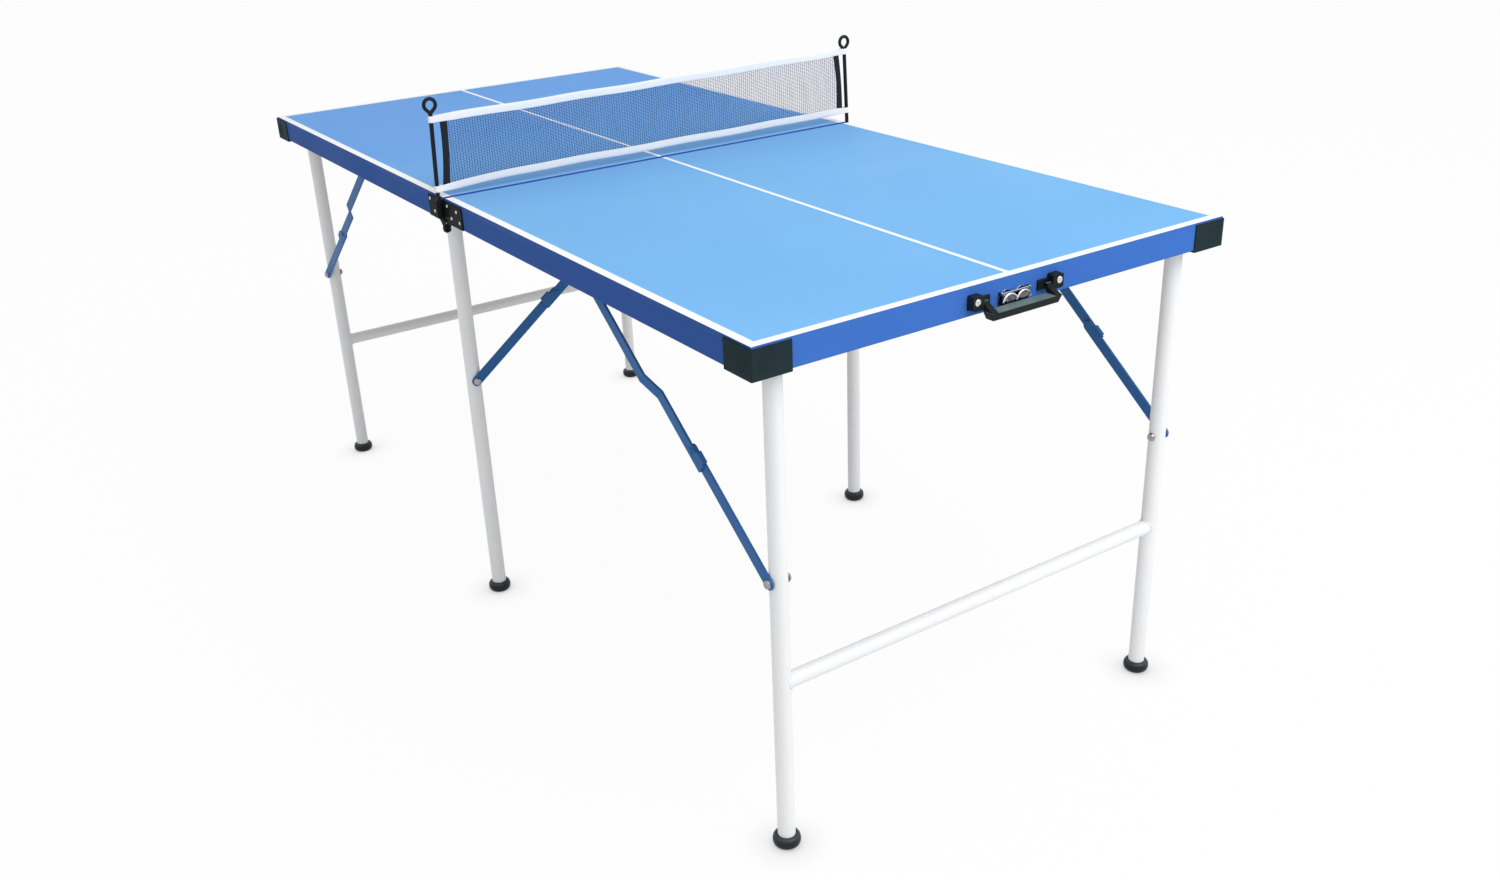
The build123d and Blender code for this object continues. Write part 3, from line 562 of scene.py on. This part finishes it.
def makeTape(name, node, low, high, shift, foldAtTop):
    mesh = bmesh.new()
    rings = []
    end = postAt(low.z)
    for y, half in tapeStations(end):
        bottom, top = tapeHeights(y, low, high, shift)
        inner = ease((end - tape["flare"] - abs(y)) / tape["settle"])
        sway = tapeSway(y, low)
        ring = []
        for row in range(tape["rows"] + 1):
            v = row / tape["rows"]
            z = bottom + (top - bottom) * v
            fold = ease((v if foldAtTop else 1 - v) * 4 - 3)
            x = netX + half * (1 - tape["pinch"] * fold * inner) + sway * inner
            ring.append(mesh.verts.new((x, y * postAt(z) / end, z)))
        rings.append(ring)
    joinRings(mesh, rings + rings[:1], closed=False)
    piece = makePiece(name, mesh, "tape", "net")
    solid = piece.modifiers.new("cloth", "SOLIDIFY")
    solid.thickness = tape["cloth"]
    solid.offset = 0
    smooth = piece.modifiers.new("soft", "SUBSURF")
    smooth.levels = smooth.render_levels = 1
    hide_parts(node)
    return piece


def addStitch(mesh, centre, length, radius):
    rings = []
    for along, size in ((-0.5, 0.3), (-0.3, 1.0), (0.3, 1.0), (0.5, 0.3)):
        ring = []
        for step in range(stitch["sides"]):
            angle = math.tau * step / stitch["sides"]
            offset = Vector((math.cos(angle), 0, math.sin(angle))) * radius * size
            ring.append(mesh.verts.new(centre + offset + Vector((0, along * length, 0))))
        rings.append(ring)
    joinClosed(mesh, rings)


def makeStitches(name, low, high, shift, share):
    mesh = bmesh.new()
    run = postAt(low.z) - tape["flare"] - stitch["fromFlare"]
    count = round(2 * run / stitch["pitch"])
    length = stitch["pitch"] * stitch["length"]
    for face in (-1, 1):
        for step in range(count + 1):
            y = -run + 2 * run * step / count
            bottom, top = tapeHeights(y, low, high, shift)
            inner = ease((run + stitch["fromFlare"] - abs(y)) / tape["settle"])
            x = netX + face * (tape["gap"] + tape["cloth"] / 2) + tapeSway(y, low) * inner
            addStitch(mesh, Vector((x, y, bottom + (top - bottom) * share)), length, stitch["radius"])
    return makePiece(name, mesh, "tape", "net")


topTape = makeTape("topTape", "net_top_tape", topLow, topHigh, topShift, True)
bottomTape = makeTape("bottomTape", "net_bottom_tape", bottomLow, bottomHigh, bottomShift, False)
topStitches = makeStitches("topTapeStitches", topLow, topHigh, topShift, stitch["fromEdge"])
bottomStitches = makeStitches(
    "bottomTapeStitches", bottomLow, bottomHigh, bottomShift, 1 - stitch["fromEdge"]
)
print("tapes made")

meshCloth = {
    "pitch": 0.0040,
    "rowPitch": 0.0022,
    "thread": 0.00085,
    "tuck": 0.003,  # hidden between the layers of the tapes and bands
    "wrinkle": 0.0018,
    "creases": 55,  # fine and broad wrinkles, per metre
    "folds": 9,
    "creaseShare": 0.6,  # depth of the fine ones beside the broad ones
    "slant": 0.6,
    "settle": 0.02,  # length over which they die out at the bands
    "gather": 0.0014,  # sideways crowding of the threads in the wrinkles
}


def netEdges(y):
    tuck = meshCloth["tuck"]
    low = tapeHeights(y, bottomLow, bottomHigh, bottomShift)[1] - tuck
    high = tapeHeights(y, topLow, topHigh, topShift)[0] + tuck
    return low, high


def makeMeshCloth():
    low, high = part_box("net_mesh")
    width = high.y - low.y + 2 * meshCloth["tuck"]
    columns = round(width / meshCloth["pitch"])
    rows = round((high.z - low.z + 2 * meshCloth["tuck"]) / meshCloth["rowPitch"])
    mesh = bmesh.new()
    rings = []
    for column in range(columns + 1):
        y = low.y - meshCloth["tuck"] + width * column / columns
        bottom, top = netEdges(y)
        free = ease((width / 2 - abs(y)) / meshCloth["settle"])
        ring = []
        for row in range(rows + 1):
            v = row / rows
            slack = math.sin(math.pi * v) * free
            slant = v * meshCloth["slant"]
            crease = noise.noise(Vector((y * meshCloth["creases"] + slant, v * 2.0, 1.7)))
            broad = noise.noise(Vector((y * meshCloth["folds"] - slant, v * 0.8, 5.1)))
            x = netX + meshCloth["wrinkle"] * (meshCloth["creaseShare"] * crease + broad) * slack
            crowd = meshCloth["gather"] * (0.35 + 0.65 * slack) * free * crease
            ring.append(mesh.verts.new((x, y + crowd, bottom + (top - bottom) * v)))
        rings.append(ring)
    joinRings(mesh, rings, closed=False)
    piece = makePiece("netMesh", mesh, "mesh", "net")
    wire = piece.modifiers.new("threads", "WIREFRAME")
    wire.thickness = meshCloth["thread"]
    wire.use_even_offset = False
    wire.use_boundary = True
    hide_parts("net_mesh")


makeMeshCloth()

band = {
    "thickness": 0.0021,
    "lean": -0.0035,
    "leftBow": -0.0016,
    "rightBow": 0.00224,
    "waist": 0.12,  # share of the width that is lost halfway up
    "segments": 14,
    "corners": 20,
}


def makeBand(name, side, bow):
    outer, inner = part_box("net_bands")[1].y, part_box("net_mesh")[1].y
    width = outer - inner
    middle = side * (outer + inner) / 2
    bottom, top = netEdges(middle)
    mesh = bmesh.new()
    rings = []
    for step in range(band["segments"] + 1):
        v = step / band["segments"]
        belly = math.sin(math.pi * v)
        lean = band["lean"] * (2 * v - 1) + bow * belly
        narrow = 1 - band["waist"] * belly
        ring = []
        for corner in range(band["corners"]):
            angle = math.tau * corner / band["corners"]
            across, deep = math.cos(angle), math.sin(angle)
            y = middle + side * lean + width / 2 * narrow * math.copysign(abs(across) ** 0.5, across)
            x = netX + band["thickness"] / 2 * math.copysign(abs(deep) ** 0.7, deep)
            ring.append(mesh.verts.new((x, y, bottom + (top - bottom) * v)))
        rings.append(ring)
    joinClosed(mesh, rings)
    piece = makePiece(name, mesh, "band", "net")
    return piece


leftBand = makeBand("netBandLeft", -1, band["leftBow"])
makeBand("netBandRight", 1, band["rightBow"])
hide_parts("net_bands")
print("net made")

# Dark edging along both sides of the joint
edging = {"lip": 0.0032, "proud": 0.00025, "inGap": 0.0004, "drop": 0.012, "corner": 0.0002, "spans": 24}


def makeEdging(half, sign):
    low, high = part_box(half + "_panel")
    edge = low.x if sign > 0 else high.x
    gap, lip, top, corner = -edging["inGap"], edging["lip"], high.z + edging["proud"], edging["corner"]
    outline = [(gap, high.z - edging["drop"]), (gap, high.z), (gap, top - corner), (gap + corner, top)]
    outline += [(lip - corner, top), (lip, top - corner), (lip, high.z), (0.0, high.z)]
    outline += [(0.0, high.z - edging["drop"])]
    mesh = bmesh.new()
    rings = []
    for step in range(edging["spans"] + 1):
        y = low.y + (high.y - low.y) * step / edging["spans"]
        rings.append([mesh.verts.new((edge + sign * out, y, z)) for out, z in outline])
    joinClosed(mesh, rings)
    piece = makePiece(half + "JointEdging", mesh, "apron", half + "_half", "edging")
    piece.data.polygons.foreach_set("use_smooth", [False] * len(piece.data.polygons))


makeEdging("near", 1)
makeEdging("far", -1)
print("edging made")

# Small screws, with a cross recess in a domed head
screw = {
    "sectors": 32,
    "slotWidth": 0.15,  # shares of the radius and the height
    "slotLength": 0.6,
    "slotDepth": 0.5,
    "dome": ((1.0, 0.0), (1.0, 0.3), (0.94, 0.52), (0.8, 0.72), (0.62, 0.86), (0.54, 0.9), (0.4, 0.95),
             (0.26, 0.98), (0.15, 0.99), (0.06, 1.0)),
}


def addScrew(mesh, centre, outward, radius, height, spin=0.4):
    up = Vector(outward).normalized()
    side = up.orthogonal().normalized()
    turn = Matrix((side, up.cross(side), up)).transposed().to_4x4()
    place = Matrix.Translation(centre) @ turn @ Matrix.Rotation(spin, 4, "Z")
    rings = []
    for share, rise in screw["dome"]:
        ring = []
        for step in range(screw["sectors"]):
            angle = math.tau * step / screw["sectors"]
            u, v = share * math.cos(angle), share * math.sin(angle)
            inSlot = min(abs(u), abs(v)) < screw["slotWidth"] and max(abs(u), abs(v)) < screw["slotLength"]
            z = rise - screw["slotDepth"] if inSlot else rise
            ring.append(mesh.verts.new(place @ Vector((u * radius, v * radius, z * height))))
        rings.append(ring)
    joinRings(mesh, rings)
    mesh.faces.new(rings[-1])


hingeScrews = {
    "radius": 0.0024,
    "height": 0.0009,
    # distances from the joint and below the top
    "near": ((0.010, 0.0095), (0.022, 0.0250), (0.041, 0.0120), (0.049, 0.0262)),
    "far": ((0.051, 0.0100), (0.037, 0.0260), (0.020, 0.0240)),
}


def makeHingeScrews(half, sign):
    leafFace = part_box("near_hinge_leaves")[1].y
    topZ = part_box("near_panel")[1].z
    mesh = bmesh.new()
    for side in (-1, 1):
        for along, drop in hingeScrews[half]:
            centre = Vector((sign * along, side * leafFace, topZ - drop))
            addScrew(mesh, centre, (0, side, 0), hingeScrews["radius"], hingeScrews["height"], along * 90)
    makePiece(half + "HingeScrews", mesh, "steel", half + "_half", "screw")


makeHingeScrews("near", 1)
makeHingeScrews("far", -1)

mountScrews = {"radius": 0.0042, "height": 0.0016, "fromOuter": 0.0068, "rise": 0.0015}


def makeMountScrews():
    low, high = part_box("handle_mounts")
    mesh = bmesh.new()
    for side in (-1, 1):
        middle = (low.z + high.z) / 2 + mountScrews["rise"]
        centre = Vector((high.x, side * (high.y - mountScrews["fromOuter"]), middle))
        addScrew(mesh, centre, (1, 0, 0), mountScrews["radius"], mountScrews["height"], side)
    makePiece("handleMountScrews", mesh, "steel", "near_half", "screw")


makeMountScrews()

# Rolled rims round the lever's two lobes
leverRims = {
    "radius": 0.0106,
    "below": 0.0028,
    "back": 0.0024,
    "tube": 0.0013,
    "start": 12,  # degrees
    "stop": 168,
    "steps": 24,
    "sides": 10,
}


def makeLeverRims():
    low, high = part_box("latch_lever")
    lobe = leverRims["radius"]
    mesh = bmesh.new()
    for side in (-1, 1):
        centre = Vector((high.x - leverRims["back"], side * lobe, low.z - leverRims["below"]))
        rings = []
        for step in range(leverRims["steps"] + 1):
            sweep = (leverRims["stop"] - leverRims["start"]) * step / leverRims["steps"]
            angle = math.radians(leverRims["start"] + sweep)
            out = Vector((0, math.cos(angle), math.sin(angle)))
            ring = []
            for corner in range(leverRims["sides"]):
                turn = math.tau * corner / leverRims["sides"]
                offset = out * math.cos(turn) + Vector((1, 0, 0)) * math.sin(turn)
                ring.append(mesh.verts.new(centre + out * lobe + offset * leverRims["tube"]))
            rings.append(ring)
        joinClosed(mesh, rings)
    makePiece("leverRims", mesh, "bright", "latch_lever", "chrome")


makeLeverRims()

# Fine moulded ribs on the outer faces of the corner guards
guardRibs = {
    "count": 5,
    "pitch": 0.0042,
    "start": 0.010,
    "width": 0.0011,
    "proud": 0.00035,
    "share": 0.62,  # of the guard's height
    "steps": 8,
    "sides": 6,
}


def addRib(mesh, foot, across, outward, height):
    rings = []
    for step in range(guardRibs["steps"] + 1):
        v = step / guardRibs["steps"]
        swell = math.sin(math.pi * min(max(v, 0.04), 0.96)) ** 0.25
        ring = []
        for corner in range(guardRibs["sides"] + 1):
            angle = math.pi * corner / guardRibs["sides"]
            offset = across * math.cos(angle) * guardRibs["width"] / 2
            offset = offset + outward * math.sin(angle) * guardRibs["proud"]
            ring.append(mesh.verts.new(foot + offset * swell + Vector((0, 0, height * v))))
        rings.append(ring)
    joinRings(mesh, rings, closed=False)


def makeGuardRibs(half, sign):
    low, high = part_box(half + "_guards")
    endX = high.x if sign > 0 else low.x
    height = (high.z - low.z) * guardRibs["share"]
    base = (low.z + high.z - height) / 2
    mesh = bmesh.new()
    for side in (-1, 1):
        sideY = high.y if side > 0 else low.y
        for step in range(guardRibs["count"]):
            inset = guardRibs["start"] + guardRibs["pitch"] * step
            onSide = Vector((endX - sign * inset, sideY, base))
            addRib(mesh, onSide, Vector((1, 0, 0)), Vector((0, side, 0)), height)
            onEnd = Vector((endX, sideY - side * inset, base))
            addRib(mesh, onEnd, Vector((0, 1, 0)), Vector((sign, 0, 0)), height)
    makePiece(half + "GuardRibs", mesh, "guard", half + "_half")


makeGuardRibs("near", 1)
makeGuardRibs("far", -1)
print("screws and ribs made")

# Painted weld beads where the crossbars meet the legs
weld = {"stations": 48, "round": 8, "size": 0.0017, "uneven": 0.22, "ripple": 2.6}


def addWeld(mesh, bar, barRadius, legY, legRadius, side):
    rings = []
    for station in range(weld["stations"]):
        angle = math.tau * station / weld["stations"]
        out = Vector((math.cos(angle), 0, math.sin(angle)))
        x = barRadius * out.x
        centre = bar + out * barRadius
        centre.y = legY - side * math.sqrt(max(legRadius**2 - x**2, 0))
        size = weld["size"] * (1 + weld["uneven"] * math.sin(station * weld["ripple"]))
        ring = []
        for corner in range(weld["round"]):
            turn = math.tau * corner / weld["round"]
            offset = out * math.cos(turn) + Vector((0, 1, 0)) * math.sin(turn)
            ring.append(mesh.verts.new(centre + offset * size))
        rings.append(ring)
    joinRings(mesh, rings + rings[:1])


def makeWelds(half):
    barLow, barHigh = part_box(half + "_crossbar")
    bar = (barLow + barHigh) / 2
    mesh = bmesh.new()
    for side, name in ((-1, "_leg_left"), (1, "_leg_right")):
        legLow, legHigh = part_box(half + name)
        legY, legRadius = (legLow.y + legHigh.y) / 2, (legHigh.y - legLow.y) / 2
        addWeld(mesh, bar, (barHigh.z - barLow.z) / 2, legY, legRadius, side)
    makePiece(half + "CrossbarWelds", mesh, "leg_paint", half + "_legs")


makeWelds("near")
makeWelds("far")

# Levelling feet: a rounded moulded pad under a short stem
footForm = {
    "sectors": 56,
    "rings": 18,
    "sole": 0.80,  # radius on the floor, as a share of the pad's
    "shoulder": 0.62,  # radius where the pad closes, as a share
    "collar": 0.66,
    "collarInner": 0.645,
    "tuck": 0.42,  # how far the side runs under, in half turns
    "halfHeight": 0.0078,
    "padTop": 0.0155,
    "stem": 0.006,
}


def makeFoot(node):
    low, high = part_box(node)
    centre = Vector(((low.x + high.x) / 2, (low.y + high.y) / 2, 0))
    radius = (high.x - low.x) / 2
    padTop, stem, tuck = footForm["padTop"], footForm["stem"], footForm["tuck"]
    sole, shoulder = radius * footForm["sole"], footForm["shoulder"]
    profile = [(0.0, 0.0), (sole - 0.001, 0.0), (sole, 0.0003)]
    for step in range(footForm["rings"] + 1):
        t = -tuck * math.pi + (tuck + 0.5) * math.pi * step / footForm["rings"]
        squat = math.copysign(abs(math.sin(t)) ** 0.9, math.sin(t))
        r = radius * (shoulder + (1 - shoulder) * abs(math.cos(t)) ** 0.8)
        profile.append((r, footForm["halfHeight"] * (1 + squat)))
    profile += [(radius * footForm["collar"], padTop + 0.0006)]
    profile += [(radius * footForm["collarInner"], padTop - 0.0004)]
    profile += [(stem, padTop - 0.001), (stem, high.z - 0.001), (0.0, high.z)]
    mesh = bmesh.new()
    rings = []
    for r, z in profile:
        ring = []
        for step in range(footForm["sectors"]):
            angle = math.tau * step / footForm["sectors"]
            around = Vector((math.cos(angle), math.sin(angle), 0)) * max(r, 1e-5)
            ring.append(mesh.verts.new(centre + around + Vector((0, 0, z))))
        rings.append(ring)
    joinRings(mesh, rings)
    piece = makePiece(node.replace("_", "") + "Pad", mesh, "rubber", node)
    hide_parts(node)


for half in ("near", "far"):
    for foot in ("_foot_left", "_foot_right", "_mid_foot"):
        makeFoot(half + foot)
print("welds and feet made")

# Studio: a pale floor, soft light from all round and one large soft lamp
studio = {
    "ambient": 0.68,
    "keyPlace": (2.4, 0.6, 3.2),
    "keyAim": (0.0, 0.0, 0.45),
    "keySize": 2.6,
    "keyPower": 74.0,
    "floorColour": (0.85, 0.85, 0.85),
    "floorGlow": 0.95,
    "contactReach": 0.05,  # soft shade on the floor round each foot
    "contactShade": 0.35,
    "floorSize": 24.0,
}


def seenDirectly(tree):
    rays = addNode(tree, "ShaderNodeLightPath").outputs
    seen = addMath(tree, "MAXIMUM", rays["Is Camera Ray"], rays["Is Glossy Ray"])
    return addMath(tree, "MAXIMUM", seen, rays["Is Transmission Ray"])


def makeStudio():
    world = bpy.data.worlds.new("softSky")
    world.use_nodes = True
    scene.world = world
    tree = world.node_tree
    sky = tree.nodes["Background"]
    sky.inputs["Color"].default_value = (1, 1, 1, 1)
    strength = addRange(tree, seenDirectly(tree), 0, 1, studio["ambient"], 1.0)
    tree.links.new(strength, sky.inputs["Strength"])

    lamp = bpy.data.lights.new("keyLamp", "AREA")
    lamp.size = studio["keySize"]
    lamp.energy = studio["keyPower"]
    key = bpy.data.objects.new("keyLamp", lamp)
    key.location = studio["keyPlace"]
    key.rotation_euler = (Vector(studio["keyAim"]) - key.location).to_track_quat("-Z", "Y").to_euler()
    scene.collection.objects.link(key)

    material = bpy.data.materials.new("studioFloor")
    material.use_nodes = True
    tree = material.node_tree
    shader = tree.nodes["Principled BSDF"]
    shader.inputs["Base Color"].default_value = (*studio["floorColour"], 1)
    shader.inputs["Roughness"].default_value = 0.9
    shader.inputs["Specular IOR Level"].default_value = 0.0
    glow = addNode(tree, "ShaderNodeEmission")
    contact = addNode(tree, "ShaderNodeAmbientOcclusion", samples=16)
    contact.inputs["Distance"].default_value = studio["contactReach"]
    shade = addRange(tree, contact.outputs["AO"], 0.0, 1.0, studio["contactShade"], 1.0)
    tree.links.new(shade, glow.inputs["Strength"])
    blend = addNode(tree, "ShaderNodeMixShader")
    tree.links.new(addMath(tree, "MULTIPLY", seenDirectly(tree), studio["floorGlow"]), blend.inputs[0])
    tree.links.new(shader.outputs[0], blend.inputs[1])
    tree.links.new(glow.outputs[0], blend.inputs[2])
    below = addNode(tree, "ShaderNodeMixShader")
    tree.links.new(addNode(tree, "ShaderNodeNewGeometry").outputs["Backfacing"], below.inputs[0])
    tree.links.new(blend.outputs[0], below.inputs[1])
    tree.links.new(addNode(tree, "ShaderNodeBsdfTransparent").outputs[0], below.inputs[2])
    tree.links.new(below.outputs[0], tree.nodes["Material Output"].inputs["Surface"])

    mesh = bmesh.new()
    bmesh.ops.create_grid(mesh, x_segments=8, y_segments=8, size=studio["floorSize"] / 2)
    data = bpy.data.meshes.new("studioFloor")
    mesh.to_mesh(data)
    mesh.free()
    data.materials.append(material)
    floor = bpy.data.objects.new("studioFloor", data)
    scene.collection.objects.link(floor)


makeStudio()
print("studio made")
